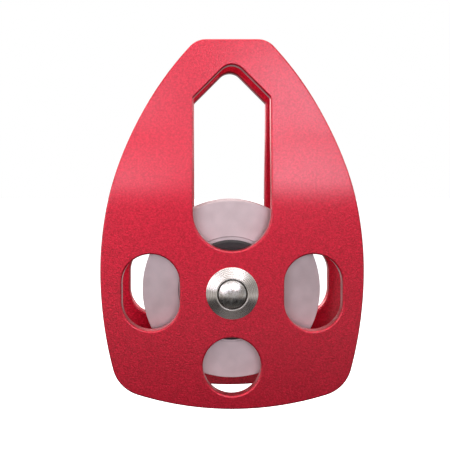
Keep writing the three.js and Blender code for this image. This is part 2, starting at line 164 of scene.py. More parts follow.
RING_START = 7.35           # retaining rings
RING_THICKNESS = 1
RING_INNER = 21.2
RING_OUTER = 24.6
RING_OPENING = 14           # degrees from the middle of the ring's gap to its end
RING_LUG_DEPTH = 1.8
RING_LUG_DEGREES = 9
RING_EYE_RADIUS = 0.6

STAMPED_CORNER = 0.3        # corners of the retaining rings' and the lock washer's outlines
STAMPED_EDGE = 0.06         # and their rounded arrises

# ----------------------------------------------------------------------------------------------
# Fineness of the meshes
# ----------------------------------------------------------------------------------------------

SEGMENTS = 144              # round a turned piece
SHEAVE_SEGMENTS = 192
BALL_SEGMENTS = 40
BALL_STEPS = 20             # along a ball, from pole to pole
CURVE_STEPS = 16            # along a dome or a ball track
SEAT_STEPS = 14             # along half of the groove's seat
RING_STEPS = 90             # along a retaining ring or the lock washer
ROUND_STEPS = 3             # along a small round at a profile's corner
EDGE_STEPS = 4              # along a cheek's rounded arris
STAMPED_STEPS = 2           # along a stamped piece's arris
FEWEST_ARC_STEPS = 8
OUTLINE_STEP = 1.5          # longest stretch of a cheek's outline between two vertices
FACE_GRID = 3.0             # spacing of the vertices inside a cheek's faces
RING_GRID = 1.2
LOCK_WASHER_GRID = 1.0
TINY = 1e-6

# ----------------------------------------------------------------------------------------------
# Mesh helpers
# ----------------------------------------------------------------------------------------------


def make_piece(name, points, faces, normals, material, body, replaced):
    """A smooth-shaded mesh with its own normals, riding on a body in place of a CAD node."""
    mesh = bpy.data.meshes.new(name)
    mesh.from_pydata([AXLE + Vector(p) * MM for p in points], [], faces)
    mesh.validate()
    mesh.shade_smooth()
    if normals is not None:
        mesh.normals_split_custom_set_from_vertices([Vector(n).normalized() for n in normals])
    piece = bpy.data.objects.new(name, mesh)
    bpy.context.scene.collection.objects.link(piece)
    mesh.materials.append(material)
    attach(piece, body)
    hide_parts(replaced)
    return piece


# ----------------------------------------------------------------------------------------------
# Cheek outline: closed loops of (x, z, normal x, normal z), the normal pointing out of the metal
# ----------------------------------------------------------------------------------------------


def arc(cx, cz, radius, start, end, outward=1):
    """Points along an arc, with normals away from its centre, or towards it if outward is -1."""
    count = max(FEWEST_ARC_STEPS, math.ceil(abs(end - start) * radius / OUTLINE_STEP))
    points = []
    for i in range(count + 1):
        angle = start + (end - start) * i / count
        nx, nz = math.cos(angle), math.sin(angle)
        points.append((cx + radius * nx, cz + radius * nz, outward * nx, outward * nz))
    return points


def close_loop(points):
    """Drops repeated points and divides long straight stretches."""
    loop = []
    for i, p in enumerate(points):
        q = points[(i + 1) % len(points)]
        length = math.hypot(q[0] - p[0], q[1] - p[1])
        if length < TINY:
            continue
        steps = max(1, math.ceil(length / OUTLINE_STEP - TINY))
        for k in range(steps):
            t = k / steps
            loop.append(tuple(a + (b - a) * t for a, b in zip(p, q)))
    return loop


def mirrored(points):
    """The left half of an outline, from its right half."""
    return [(-x, z, -nx, nz) for x, z, nx, nz in reversed(points)]


def round_inside(first, second, radius):
    """Centre of a round inside two circles (x, z, radius), touching both, at their lower right."""
    r1, r2 = first[2] - radius, second[2] - radius
    dx, dz = second[0] - first[0], second[1] - first[1]
    distance = math.hypot(dx, dz)
    along = (r1 * r1 - r2 * r2 + distance * distance) / (2 * distance)
    across = math.sqrt(r1 * r1 - along * along)
    x = first[0] + (along * dx + across * dz) / distance
    z = first[1] + (along * dz - across * dx) / distance
    return x, z, radius


def cheek_outline():
    """The plate's outer edge: tangent arcs from the middle of its bottom to its flat crown."""
    bottom = (0, CHEEK_BOTTOM + BOTTOM_RADIUS, BOTTOM_RADIUS)
    lower_side = (CHEEK_HALF_WIDTH - LOWER_SIDE_RADIUS, WIDEST_HEIGHT, LOWER_SIDE_RADIUS)
    upper_side = (CHEEK_HALF_WIDTH - UPPER_SIDE_RADIUS, WIDEST_HEIGHT, UPPER_SIDE_RADIUS)
    lower_corner = round_inside(lower_side, bottom, LOWER_CORNER_RADIUS)
    crown_z = CHEEK_TOP - CROWN_CORNER_RADIUS
    reach = UPPER_SIDE_RADIUS - CROWN_CORNER_RADIUS
    crown_x = upper_side[0] + math.sqrt(reach**2 - (crown_z - WIDEST_HEIGHT) ** 2)
    crown = (crown_x, crown_z, CROWN_CORNER_RADIUS)

    def angle_to(circle, other):
        return math.atan2(other[1] - circle[1], other[0] - circle[0])

    bottom_end = angle_to(bottom, lower_corner)
    side_start = angle_to(lower_side, lower_corner)
    side_end = angle_to(upper_side, crown)
    right = arc(*bottom, -math.pi / 2, bottom_end)
    right += arc(*lower_corner, bottom_end, side_start)
    right += arc(*lower_side, side_start, 0)
    right += arc(*upper_side, 0, side_end)
    right += arc(*crown, side_end, math.pi / 2)
    return close_loop(right + mirrored(right))


def tall_window():
    """The window for the carabiner: a round foot, straight sides and a roof with a round ridge."""
    r = WINDOW_SHOULDER_ROUND
    shoulder = (WINDOW_HALF_WIDTH - r, WINDOW_SHOULDER - r * math.tan(math.pi / 8), r)
    seat = (0, SEAT_HEIGHT - SEAT_RADIUS, SEAT_RADIUS)
    foot = (0, WINDOW_ROUND_CENTRE, WINDOW_HALF_WIDTH)
    right = arc(*foot, -math.pi / 2, 0, -1)
    right += arc(*shoulder, 0, math.pi / 4, -1)
    right += arc(*seat, math.pi / 4, math.pi / 2, -1)
    return close_loop(right + mirrored(right))


def side_window(side):
    """The window on the right (side 1) or on the left (side -1) of the axle."""
    x = side * SIDE_WINDOW_OFFSET
    straight = SIDE_WINDOW_HEIGHT / 2 - SIDE_WINDOW_HALF_WIDTH
    points = arc(x, straight, SIDE_WINDOW_HALF_WIDTH, 0, math.pi, -1)
    points += arc(x, -straight, SIDE_WINDOW_HALF_WIDTH, math.pi, 2 * math.pi, -1)
    return close_loop(points)


def round_hole(z, radius):
    return close_loop(arc(0, z, radius, 0, 2 * math.pi, -1))


# ----------------------------------------------------------------------------------------------
# Cheek plates
# ----------------------------------------------------------------------------------------------


def joggle(z):
    """How far a cheek has stepped inwards at height z, and its slope there."""
    length = JOGGLE_END - JOGGLE_START
    slope = JOGGLE_STEP / (length - JOGGLE_BEND)
    up = min(max(z - JOGGLE_START, 0), length)
    left = length - up
    if up < JOGGLE_BEND:
        return slope * up * up / (2 * JOGGLE_BEND), slope * up / JOGGLE_BEND
    if left < JOGGLE_BEND:
        step = JOGGLE_STEP - slope * left * left / (2 * JOGGLE_BEND)
        return step, slope * left / JOGGLE_BEND
    return slope * (up - JOGGLE_BEND / 2), slope


def inside_loops(points, loops):
    """True for each point that lies inside an odd number of the loops."""
    inside = np.zeros(len(points), bool)
    x, z = points[:, 0], points[:, 1]
    for loop in loops:
        a = np.array([p[:2] for p in loop])
        b = np.roll(a, -1, axis=0)
        for (ax, az), (bx, bz) in zip(a, b):
            if az == bz:
                continue
            crosses = (az > z) != (bz > z)
            inside ^= crosses & (x < (bx - ax) * (z - az) / (bz - az) + ax)
    return inside


def face_grid(loops, spacing):
    """Vertices spread over the inside of a flat face, clear of its edges."""
    edge = np.array([p[:2] for loop in loops for p in loop])
    low, high = edge.min(axis=0), edge.max(axis=0)
    grid = []
    for number, z in enumerate(np.arange(low[1], high[1], spacing * math.sin(math.pi / 3))):
        shift = spacing / 2 * (number % 2)
        grid += [(x + shift, z) for x in np.arange(low[0], high[0], spacing)]
    grid = np.array(grid)
    grid = grid[inside_loops(grid, loops)]
    clear = [np.min(np.hypot(*(edge - point).T)) > spacing / 2 for point in grid]
    return grid[np.array(clear, bool)]


def face_triangles(loops, spacing):
    """Points and triangles that fill the face between the loops, the loops' own points first."""
    coords, edges = [], []
    for loop in loops:
        first = len(coords)
        coords += [Vector(p[:2]) for p in loop]
        edges += [(first + i, first + (i + 1) % len(loop)) for i in range(len(loop))]
    coords += [Vector(p) for p in face_grid(loops, spacing)]
    all_triangles, nearness = 0, 1e-7
    made = delaunay_2d_cdt(coords, edges, [], all_triangles, nearness, True)
    made_points, triangles, sources = np.array(made[0]), made[2], made[3]
    centres = np.array([made_points[list(t)].mean(axis=0) for t in triangles])
    keep = inside_loops(centres, loops)
    kept = [tuple(sources[i][0] for i in t) for t, inside in zip(triangles, keep) if inside]
    return [tuple(c) for c in coords], kept


def slab(loops, start, end, edge_round, steps, grid_spacing):
    """A flat plate between two y values with rounded arrises: its points, faces and normals."""
    rings = []
    for k in range(steps + 1):
        angle = math.pi / 2 * k / steps
        inset = edge_round * (1 - math.sin(angle))
        depth = edge_round * (1 - math.cos(angle))
        rings.append((inset, start + depth, math.sin(angle), -math.cos(angle)))
    rings += [(inset, start + end - y, wall, -flat) for inset, y, wall, flat in reversed(rings)]

    points, normals, faces = [], [], []
    ring_starts = []
    for inset, y, wall, flat in rings:
        starts = []
        for loop in loops:
            starts.append(len(points))
            for x, z, nx, nz in loop:
                points.append((x - nx * inset, y, z - nz * inset))
                normals.append((nx * wall, flat, nz * wall))
        ring_starts.append(starts)
    for ring_a, ring_b in zip(ring_starts, ring_starts[1:]):
        for loop, a, b in zip(loops, ring_a, ring_b):
            n = len(loop)
            for i in range(n):
                j = (i + 1) % n
                faces.append((a + i, a + j, b + j, b + i))

    inset_loops = [[(x - nx * edge_round, z - nz * edge_round) for x, z, nx, nz in loop]
                   for loop in loops]
    flat_points, triangles = face_triangles(inset_loops, grid_spacing)
    on_edge = sum(len(loop) for loop in loops)
    for y, flat, edge_start in ((start, -1, 0), (end, 1, ring_starts[-1][0])):
        extra = len(points) - on_edge
        for x, z in flat_points[on_edge:]:
            points.append((x, y, z))
            normals.append((0, flat, 0))
        for t in triangles:
            faces.append(tuple(edge_start + i if i < on_edge else extra + i for i in t))
    return points, faces, normals


def cheek_mesh(facing):
    """Points, faces and normals of a cheek whose outer face looks along facing * Y."""
    loops = [cheek_outline(), tall_window(), side_window(-1), side_window(1),
             round_hole(LOWER_HOLE_HEIGHT, LOWER_HOLE_RADIUS), round_hole(0, BUSH_RADIUS + GAP)]
    start, end = sorted((facing * CHEEK_INNER, facing * CHEEK_OUTER))
    flat = slab(loops, start, end, EDGE_ROUND, EDGE_STEPS, FACE_GRID)
    points, normals = [], []
    for (x, y, z), (nx, ny, nz) in zip(flat[0], flat[2]):
        step, slope = joggle(z)
        points.append((x, y - facing * step, z))
        normals.append((nx, ny, nz + facing * slope * ny))
    return points, outward(points, flat[1], normals), normals


def outward(points, faces, normals):
    """Turns round each face that looks against its vertices' normals."""
    p, n = np.array(points), np.array(normals)
    turned_faces = []
    for face in faces:
        a, b, c = p[face[0]], p[face[1]], p[face[2]]
        facing = np.dot(np.cross(b - a, c - a), n[list(face)].sum(axis=0))
        turned_faces.append(tuple(reversed(face)) if facing < 0 else face)
    return turned_faces


def build_cheek(side, facing, material):
    points, faces, normals = cheek_mesh(facing)
    return make_piece(f"{side}_cheek", points, faces, normals, material, f"{side}_cheek",
                      f"{side}_cheek_plate")


# ----------------------------------------------------------------------------------------------
# Turned pieces: a profile in (radius, y), rounded at its corners and revolved about the axle
# ----------------------------------------------------------------------------------------------


def rounded_profile(corners, closed):
    """Replaces each sharp corner (radius, y, round) by a small arc; gives points and normals."""
    least_bend = math.radians(5)
    most_trim = 0.45            # of the length of either side of the corner
    count = len(corners)
    points, normals = [], []
    area = 0
    for i in range(count):
        (r0, y0, *_), (r1, y1, *_) = corners[i], corners[(i + 1) % count]
        area += r0 * y1 - r1 * y0
    turn = 1 if area > 0 else -1

    def edge_normal(a, b):
        dr, dy = b[0] - a[0], b[1] - a[1]
        length = math.hypot(dr, dy)
        return turn * dy / length, -turn * dr / length

    for i in range(count):
        here = corners[i]
        before = corners[i - 1] if closed or i > 0 else None
        after = corners[(i + 1) % count] if closed or i < count - 1 else None
        if before is None or after is None:
            points.append(here[:2])
            normals.append((0, math.copysign(1, edge_normal(here, after)[1]
                            if before is None else edge_normal(before, here)[1])))
            continue
        n0, n1 = edge_normal(before, here), edge_normal(here, after)
        bend = math.acos(max(-1, min(1, n0[0] * n1[0] + n0[1] * n1[1])))
        size = here[2] if len(here) > 2 else 0
        if size == 0 or bend < least_bend:
            points.append(here[:2])
            normals.append((n0[0] + n1[0], n0[1] + n1[1]))
            continue
        len0 = math.hypot(here[0] - before[0], here[1] - before[1])
        len1 = math.hypot(after[0] - here[0], after[1] - here[1])
        trim = min(size * math.tan(bend / 2), most_trim * len0, most_trim * len1)
        start = (here[0] + (before[0] - here[0]) * trim / len0,
                 here[1] + (before[1] - here[1]) * trim / len0)
        end = (here[0] + (after[0] - here[0]) * trim / len1,
               here[1] + (after[1] - here[1]) * trim / len1)
        for k in range(ROUND_STEPS + 1):
            t = k / ROUND_STEPS
            # A quadratic curve from start to end with the corner as its control point.
            points.append(tuple((1 - t) ** 2 * s + 2 * t * (1 - t) * h + t * t * e
                                for s, h, e in zip(start, here, end)))
            normals.append(((1 - t) * n0[0] + t * n1[0], (1 - t) * n0[1] + t * n1[1]))
    return points, normals


def revolve(corners, segments, closed=True):
    """Points, faces and normals of a profile revolved about the axle."""
    profile, profile_normals = rounded_profile(corners, closed)
    points, normals, faces = [], [], []
    rows = []
    for (r, y), (nr, ny) in zip(profile, profile_normals):
        if r < TINY:
            rows.append([len(points)] * segments)
            points.append((0, y, 0))
            normals.append((0, ny, 0))
            continue
        rows.append(range(len(points), len(points) + segments))
        for s in range(segments):
            angle = 2 * math.pi * s / segments
            c, d = math.cos(angle), math.sin(angle)
            points.append((r * c, y, r * d))
            normals.append((nr * c, ny, nr * d))
    pairs = list(zip(rows, rows[1:]))
    if closed:
        pairs.append((rows[-1], rows[0]))
    for row_a, row_b in pairs:
        for s in range(segments):
            t = (s + 1) % segments
            face = []
            for v in (row_a[s], row_a[t], row_b[t], row_b[s]):
                if v not in face:
                    face.append(v)
            faces.append(tuple(face))
    return points, outward(points, faces, normals), normals


def curve_points(centre_r, centre_y, radius, start, end, steps):
    """Profile points along an arc, angles in degrees."""
    points = []
    for i in range(steps + 1):
        angle = math.radians(start + (end - start) * i / steps)
        points.append((centre_r + radius * math.cos(angle), centre_y + radius * math.sin(angle)))
    return points


def facing_side(corners, facing):
    """Mirrors a profile drawn for the +Y side onto the other side where facing is -1."""
    return [(r, facing * y, *rest) for r, y, *rest in corners]


# ----------------------------------------------------------------------------------------------
# Profiles of the turned pieces
# ----------------------------------------------------------------------------------------------


def sheave_profile():
    """The sheave's section: bore, retaining ring slots, flanges and a groove with a round seat."""
    bore, slot_radius = 23.8, 24.95
    slot_start, slot_end = 7.2, 8.5
    floor = SHEAVE_HALF_WIDTH - POCKET_DEPTH
    pocket_bevel = 0.25
    rim_round = 0.7
    rim = SHEAVE_RADIUS
    seat = curve_points(GROOVE_BOTTOM + GROOVE_RADIUS, 0, GROOVE_RADIUS,
                        180 - GROOVE_SEAT_ANGLE, 180, SEAT_STEPS)
    seat_end_r, seat_end_y = seat[0]
    wall_y = seat_end_y + (rim - seat_end_r) / math.tan(math.radians(GROOVE_SEAT_ANGLE))
    half = [
        (bore, slot_start, 0.1),
        (slot_radius, slot_start, 0.1),
        (slot_radius, slot_end, 0.1),
        (bore, slot_end, 0.1),
        (bore, floor, 0.2),
        (POCKET_RADIUS, floor, 0.15),
        (POCKET_RADIUS, SHEAVE_HALF_WIDTH - pocket_bevel, 0.1),
        (POCKET_RADIUS + pocket_bevel, SHEAVE_HALF_WIDTH, 0.1),
        (rim, SHEAVE_HALF_WIDTH, rim_round),
        (rim, wall_y, rim_round),
        *seat,
    ]
    return half + [(r, -y, *rest) for r, y, *rest in reversed(half[:-1])]


def end_cap_profile():
    """A conical ring with a thin rim, recessed for the axle's domed head."""
    return [
        (CAP_BORE, CAP_BASE, 0.15),
        (CAP_RADIUS, CAP_BASE, 0.15),
        (CAP_RADIUS, CAP_BASE + CAP_RIM, 0.3),
        (CAP_TOP_RADIUS, CAP_TOP, 0.4),
        (CAP_RECESS_RADIUS, CAP_TOP, 0.15),
        (CAP_RECESS_RADIUS, CAP_FLOOR, 0.2),
        (CAP_BORE, CAP_FLOOR, 0.15),
    ]


def dome_points(height, last_radius=0.0):
    """The top of a domed head from its edge in towards the axis, up to last_radius."""
    radius = (HEAD_RADIUS**2 + height**2) / (2 * height)
    start = math.degrees(math.acos(HEAD_RADIUS / radius))
    end = math.degrees(math.acos(last_radius / radius))
    edge_round = 0.25
    points = curve_points(0, HEAD_TOP - radius, radius, start, end, CURVE_STEPS)
    if last_radius == 0:
        points[-1] = (0, HEAD_TOP)
    return [(*points[0], edge_round), *points[1:]]


def thread_profile(start, end):
    """Ridges of a screw thread between two y values."""
    pitch, depth = 0.8, 0.45
    points = []
    y = start + pitch
    while y < end - pitch:
        points.append((THREAD_RADIUS, y, 0.05))
        points.append((THREAD_RADIUS - depth, y + pitch / 2, 0.05))
        y += pitch
    return points


def axle_bolt_profile():
    """The bolt from its domed head through its shank to its thread, which ends in a bevel."""
    end_bevel, end_step = 0.8, 0.6
    under_head = -(CAP_FLOOR + GAP)
    head = [(r, -y, *rest) for r, y, *rest in reversed(dome_points(BOLT_DOME_HEIGHT))]
    return [
        *head,
        (HEAD_RADIUS, under_head, 0.3),
        (SHANK_RADIUS, under_head, 0.2),
        (SHANK_RADIUS, BOLT_STEP, 0.4),
        (THREAD_RADIUS, BOLT_STEP, 0.2),
        *thread_profile(BOLT_STEP, THREAD_END),
        (THREAD_RADIUS, THREAD_END - end_bevel, 0.2),
        (THREAD_RADIUS - end_step, THREAD_END, 0.1),
        (0, THREAD_END),
    ]


def axle_nut_profile():
    """The sleeve nut's outside and thread hole; its hexagon socket is added by the builder."""
    under_head = CAP_FLOOR + LOCK_WASHER_THICKNESS + 2 * GAP
    hole = THREAD_RADIUS + GAP
    hole_end = THREAD_END + 1
    socket = SOCKET_ACROSS_FLATS / math.sqrt(3)
    land = 0.5                  # of the dome, left round the socket's corners
    return [
        (0, hole_end),
        (hole, hole_end, 0.1),
        (hole, BOLT_STEP + GAP, 0.3),
        (SHANK_RADIUS, BOLT_STEP + GAP, 0.3),
        (SHANK_RADIUS, under_head, 0.2),
        (HEAD_RADIUS, under_head, 0.3),
        *dome_points(NUT_DOME_HEIGHT, socket + land),
    ]


def bevelled_ring(inner, outer, start, end, bevel):
    """A plain ring with its four arrises bevelled."""
    corners = [
        (inner + bevel, start),
        (outer - bevel, start),
        (outer, start + bevel),
        (outer, end - bevel),
        (outer - bevel, end),
        (inner + bevel, end),
        (inner, end - bevel),
        (inner, start + bevel),
    ]
    softened = 0.05
    return [(*corner, softened) for corner in corners]


def spacer_profile():
    start, end = BEARING_HALF_WIDTH + GAP, CHEEK_INNER - GAP
    return bevelled_ring(SLEEVE_RADIUS + GAP, SPACER_RADIUS, start, end, 0.4)


def bush_profile(facing):
    return bevelled_ring(SLEEVE_RADIUS + GAP, BUSH_RADIUS, facing * (CHEEK_INNER + BUSH_INSET),
                         facing * (CHEEK_OUTER - BUSH_INSET), facing * BUSH_BEVEL)


def sleeve_profile():
    return bevelled_ring(SLEEVE_BORE, SLEEVE_RADIUS, -CHEEK_OUTER, CHEEK_OUTER, SLEEVE_BEVEL)


def thrust_washer_profile():
    """A plastic ring with a bevelled outer edge and a shallow grease groove in its outer face."""
    start, end = SHEAVE_HALF_WIDTH - POCKET_DEPTH + GAP, CHEEK_INNER - GAP
    inner, outer = SPACER_RADIUS + 0.6, THRUST_WASHER_RADIUS
    edge_width, edge_depth = 0.9, 0.7
    groove, groove_half_width, groove_depth, groove_lean = 23.4, 0.45, 0.35, 0.15
    return [
        (inner, start, 0.2),
        (outer, start, 0.2),
        (outer, end - edge_depth, 0.2),
        (outer - edge_width, end, 0.2),
        (groove + groove_half_width, end, 0.1),
        (groove + groove_half_width - groove_lean, end - groove_depth, 0.1),
        (groove - groove_half_width + groove_lean, end - groove_depth, 0.1),
        (groove - groove_half_width, end, 0.1),
        (inner, end, 0.3),
    ]


def outer_race_profile():
    shoulder, recess, width = BALL_CIRCLE + SHOULDER_DEPTH, SEAL_OUTER + GAP, BEARING_HALF_WIDTH
    lean = math.degrees(math.acos(SHOULDER_DEPTH / TRACK_RADIUS))
    return [
        (BEARING_RADIUS, -width, 0.8),
        (BEARING_RADIUS, width, 0.8),
        (recess, width, 0.15),
        (recess, SEAL_SEAT, 0.1),
        (shoulder, SEAL_SEAT, 0.1),
        *curve_points(BALL_CIRCLE, 0, TRACK_RADIUS, lean, -lean, CURVE_STEPS),
        (shoulder, -SEAL_SEAT, 0.1),
        (recess, -SEAL_SEAT, 0.1),
        (recess, -width, 0.15),
    ]


def inner_race_profile():
    bore, shoulder, width = SLEEVE_RADIUS + GAP, BALL_CIRCLE - SHOULDER_DEPTH, BEARING_HALF_WIDTH
    lean = math.degrees(math.acos(SHOULDER_DEPTH / TRACK_RADIUS))
    return [
        (bore, -width, 0.5),
        (bore, width, 0.5),
        (shoulder, width, 0.2),
        *curve_points(BALL_CIRCLE, 0, TRACK_RADIUS, 180 - lean, 180 + lean, CURVE_STEPS),
        (shoulder, -width, 0.2),
    ]


def seal_profile():
    """A moulded rubber shield with a raised bead near its outer edge and a thin inner lip."""
    start = SEAL_SEAT + 0.2
    end = start + SEAL_THICKNESS
    lip_width, bead_width, relief = 0.9, 0.9, 0.3
    return [
        (SEAL_INNER, start + relief, 0.08),
        (SEAL_INNER + lip_width, start, 0.1),
        (SEAL_OUTER, start, 0.2),
        (SEAL_OUTER, end, 0.2),
        (SEAL_OUTER - bead_width, end, 0.2),
        (SEAL_OUTER - bead_width - relief, end - relief, 0.2),
        (SEAL_INNER + lip_width + 0.5, end - relief, 0.2),
        (SEAL_INNER + lip_width, end, 0.2),
        (SEAL_INNER, end - 0.2, 0.08),
    ]


# ----------------------------------------------------------------------------------------------
# Materials
# ----------------------------------------------------------------------------------------------


# Sockets of a Mix node that mixes colours: its two inputs and its output.
MIX_A, MIX_B, MIX_RESULT = 6, 7, 2


class Finish:
    """A Principled material built up from procedural layers in object coordinates, in metres."""

    def __init__(self, name, color, metallic, roughness):
        self.material = bpy.data.materials.new(name)
        self.material.use_nodes = True
        self.nodes = self.material.node_tree.nodes
        self.links = self.material.node_tree.links
        self.shader = self.nodes["Principled BSDF"]
        self.shader.inputs["Base Color"].default_value = (*color, 1)
        self.shader.inputs["Metallic"].default_value = metallic
        self.shader.inputs["Roughness"].default_value = roughness
        self.coordinates = self.nodes.new("ShaderNodeTexCoord").outputs["Object"]
        self.normal = None

    def set(self, **values):
        """Sets the shader's own inputs, named with _ for each space."""
        for label, value in values.items():
            self.shader.inputs[label.replace("_", " ")].default_value = value
        return self

    def noise(self, size, detail=3.0, roughness=0.6):
        """Noise whose blotches are about size millimetres across."""
        node = self.nodes.new("ShaderNodeTexNoise")
        node.inputs["Scale"].default_value = 1 / (size * MM)
        node.inputs["Detail"].default_value = detail
        node.inputs["Roughness"].default_value = roughness
        self.links.new(self.coordinates, node.inputs["Vector"])
        return node.outputs["Fac"]

    def rings(self, pitch, distortion=0.0, detail=1.0):
        """Fine turning marks round the axle."""
        centred = self.nodes.new("ShaderNodeMapping")
        centred.inputs["Location"].default_value = -AXLE
        self.links.new(self.coordinates, centred.inputs["Vector"])
        node = self.nodes.new("ShaderNodeTexWave")
        node.wave_type = "RINGS"
        node.rings_direction = "Y"
        # The texture's phase runs at 20 radians for each unit of its scaled coordinates.
        node.inputs["Scale"].default_value = 2 * math.pi / (20 * pitch * MM)
        node.inputs["Distortion"].default_value = distortion
        node.inputs["Detail"].default_value = detail
        self.links.new(centred.outputs["Vector"], node.inputs["Vector"])
        return node.outputs["Fac"]

    def paint_recess_shade(self, radius, fade, color):
        """Paints shade in what lies within a radius of the axle, fading out at its edge
        (millimetres).
        """
        flattened = self.nodes.new("ShaderNodeMapping")
        flattened.inputs["Location"].default_value = (-AXLE.x, 0, -AXLE.z)
        flattened.inputs["Scale"].default_value = (1, 0, 1)
        self.links.new(self.coordinates, flattened.inputs["Vector"])
        distance = self.nodes.new("ShaderNodeVectorMath")
        distance.operation = "LENGTH"
        self.links.new(flattened.outputs["Vector"], distance.inputs["Vector"])
        mix = self.nodes.new("ShaderNodeMix")
        mix.data_type = "RGBA"
        outside_shade = self.remap(distance.outputs["Value"], 0, 1, (radius - fade) * MM, radius * MM)
        self.links.new(outside_shade, mix.inputs["Factor"])
        mix.inputs[MIX_A].default_value = (*color, 1)
        base = self.shader.inputs["Base Color"]
        self.links.new(base.links[0].from_socket, mix.inputs[MIX_B])
        self.links.new(mix.outputs[MIX_RESULT], base)
        return self

    def remap(self, value, low, high, start=0.3, end=0.7):
        """Runs from low to high as value goes from start to end."""
        node = self.nodes.new("ShaderNodeMapRange")
        for label, number in zip(("From Min", "From Max", "To Min", "To Max"),
                                 (start, end, low, high)):
            node.inputs[label].default_value = number
        self.links.new(value, node.inputs["Value"])
        return node.outputs["Result"]

    def tint(self, value, first, second, start=0.35, end=0.65):
        """Base colour that runs from first to second as value goes from start to end."""
        node = self.nodes.new("ShaderNodeValToRGB")
        node.color_ramp.elements[0].position = start
        node.color_ramp.elements[0].color = (*first, 1)
        node.color_ramp.elements[1].position = end
        node.color_ramp.elements[1].color = (*second, 1)
        self.links.new(value, node.inputs["Fac"])
        self.links.new(node.outputs["Color"], self.shader.inputs["Base Color"])
        return self

    def rough(self, value, low, high):
        """Roughness that runs from low to high with the value."""
        self.links.new(self.remap(value, low, high), self.shader.inputs["Roughness"])
        return self

    def bump(self, value, height, strength=1.0):
        """Adds relief of the given height in millimetres on top of what is there."""
        node = self.nodes.new("ShaderNodeBump")
        node.inputs["Strength"].default_value = strength
        node.inputs["Distance"].default_value = height * MM
        self.links.new(value, node.inputs["Height"])
        if self.normal is not None:
            self.links.new(self.normal, node.inputs["Normal"])
        self.normal = node.outputs["Normal"]
        self.links.new(self.normal, self.shader.inputs["Normal"])
        return self

    def brushed_round(self, amount):
        """Stretches highlights across marks that run round the axle."""
        node = self.nodes.new("ShaderNodeTangent")
        node.direction_type = "RADIAL"
        node.axis = "Y"
        self.set(Anisotropic=amount, Anisotropic_Rotation=0.25)
        self.links.new(node.outputs["Tangent"], self.shader.inputs["Tangent"])
        return self


def red_anodised():
    finish = Finish("red_anodised", (0.64, 0.009, 0.034), 1, 0.45)
    finish.set(Coat_Weight=1, Coat_Roughness=0.25, Coat_IOR=1.48)
    finish.tint(finish.noise(1.1, 4), (0.54, 0.006, 0.025), (0.74, 0.011, 0.041))
    finish.rough(finish.noise(2.5, 3), 0.42, 0.5)
    finish.bump(finish.noise(1, 4, 0.7), 0.4)
    return finish.material


def sheave_aluminium():
    finish = Finish("sheave_aluminium", (0.68, 0.56, 0.555), 1, 0.62)
    finish.tint(finish.noise(6, 3), (0.64, 0.525, 0.52), (0.72, 0.6, 0.595))
    finish.rough(finish.noise(3), 0.56, 0.68)
    finish.bump(finish.rings(0.22, 0.5, 2), 0.004).brushed_round(0.5)
    return finish.material


def turned_steel():
    finish = Finish("turned_steel", (0.76, 0.69, 0.63), 1, 0.24)
    finish.tint(finish.rings(0.9, 3, 4), (0.66, 0.57, 0.5), (0.86, 0.81, 0.76))
    # Painted shade: the cap's recess round the domed head is coloured dark.
    finish.paint_recess_shade(CAP_RECESS_RADIUS + 0.15, 0.15, (0.12, 0.1, 0.09))
    finish.rough(finish.rings(0.35, 1.5, 3), 0.2, 0.34)
    finish.bump(finish.rings(0.16, 0.6, 2), 0.004).brushed_round(0.9)
    return finish.material


def polished_steel():
    finish = Finish("polished_steel", (0.74, 0.71, 0.68), 1, 0.12)
    finish.tint(finish.noise(2.2, 4), (0.56, 0.48, 0.42), (0.82, 0.79, 0.76))
    finish.rough(finish.noise(1.4, 4), 0.2, 0.34)
    finish.bump(finish.noise(1.1, 3), 0.02)
    return finish.material


def ground_steel():
    finish = Finish("ground_steel", (0.6, 0.6, 0.6), 1, 0.3)
    finish.tint(finish.noise(4), (0.52, 0.52, 0.53), (0.64, 0.64, 0.63))
    finish.rough(finish.noise(1.5), 0.24, 0.36)
    finish.bump(finish.rings(0.2, 0.8, 2), 0.004).brushed_round(0.5)
    return finish.material


def bearing_steel():
    finish = Finish("bearing_steel", (0.62, 0.63, 0.65), 1, 0.14)
    finish.tint(finish.noise(3), (0.56, 0.57, 0.6), (0.66, 0.67, 0.68))
    finish.rough(finish.noise(1.0), 0.1, 0.2)
    finish.bump(finish.noise(0.3), 0.003)
    return finish.material


def spring_steel():
    finish = Finish("spring_steel", (0.13, 0.12, 0.12), 0.9, 0.42)
    finish.tint(finish.noise(1.5, 4), (0.09, 0.085, 0.09), (0.17, 0.15, 0.14))
    finish.rough(finish.noise(0.8), 0.34, 0.5)
    finish.bump(finish.noise(0.25), 0.01)
    return finish.material


def sintered_bronze():
    finish = Finish("sintered_bronze", (0.5, 0.3, 0.12), 1, 0.45)
    finish.tint(finish.noise(0.8, 4), (0.40, 0.22, 0.08), (0.56, 0.36, 0.16))
    finish.rough(finish.noise(0.5), 0.36, 0.55)
    finish.bump(finish.noise(0.18, 4), 0.02)
    return finish.material


def black_plastic():
    finish = Finish("black_acetal", (0.013, 0.009, 0.009), 0, 0.45)
    finish.tint(finish.noise(3), (0.008, 0.006, 0.006), (0.018, 0.012, 0.012))
    finish.rough(finish.noise(1.2), 0.38, 0.55)
    finish.bump(finish.rings(0.25, 0.5, 2), 0.006)
    return finish.material


def black_rubber():
    finish = Finish("black_rubber", (0.012, 0.012, 0.012), 0, 0.7)
    finish.tint(finish.noise(2), (0.009, 0.009, 0.009), (0.02, 0.019, 0.018))
    finish.rough(finish.noise(0.7), 0.6, 0.8)
    finish.bump(finish.noise(0.2), 0.008)
    return finish.material


# ----------------------------------------------------------------------------------------------
# Building the pieces
# ----------------------------------------------------------------------------------------------


def build_turned(name, corners, material, body, node, closed=True, segments=SEGMENTS):
    """A piece revolved about the axle, in place of the CAD node."""
    points, faces, normals = revolve(corners, segments, closed)
    return make_piece(name, points, faces, normals, material, body, node)


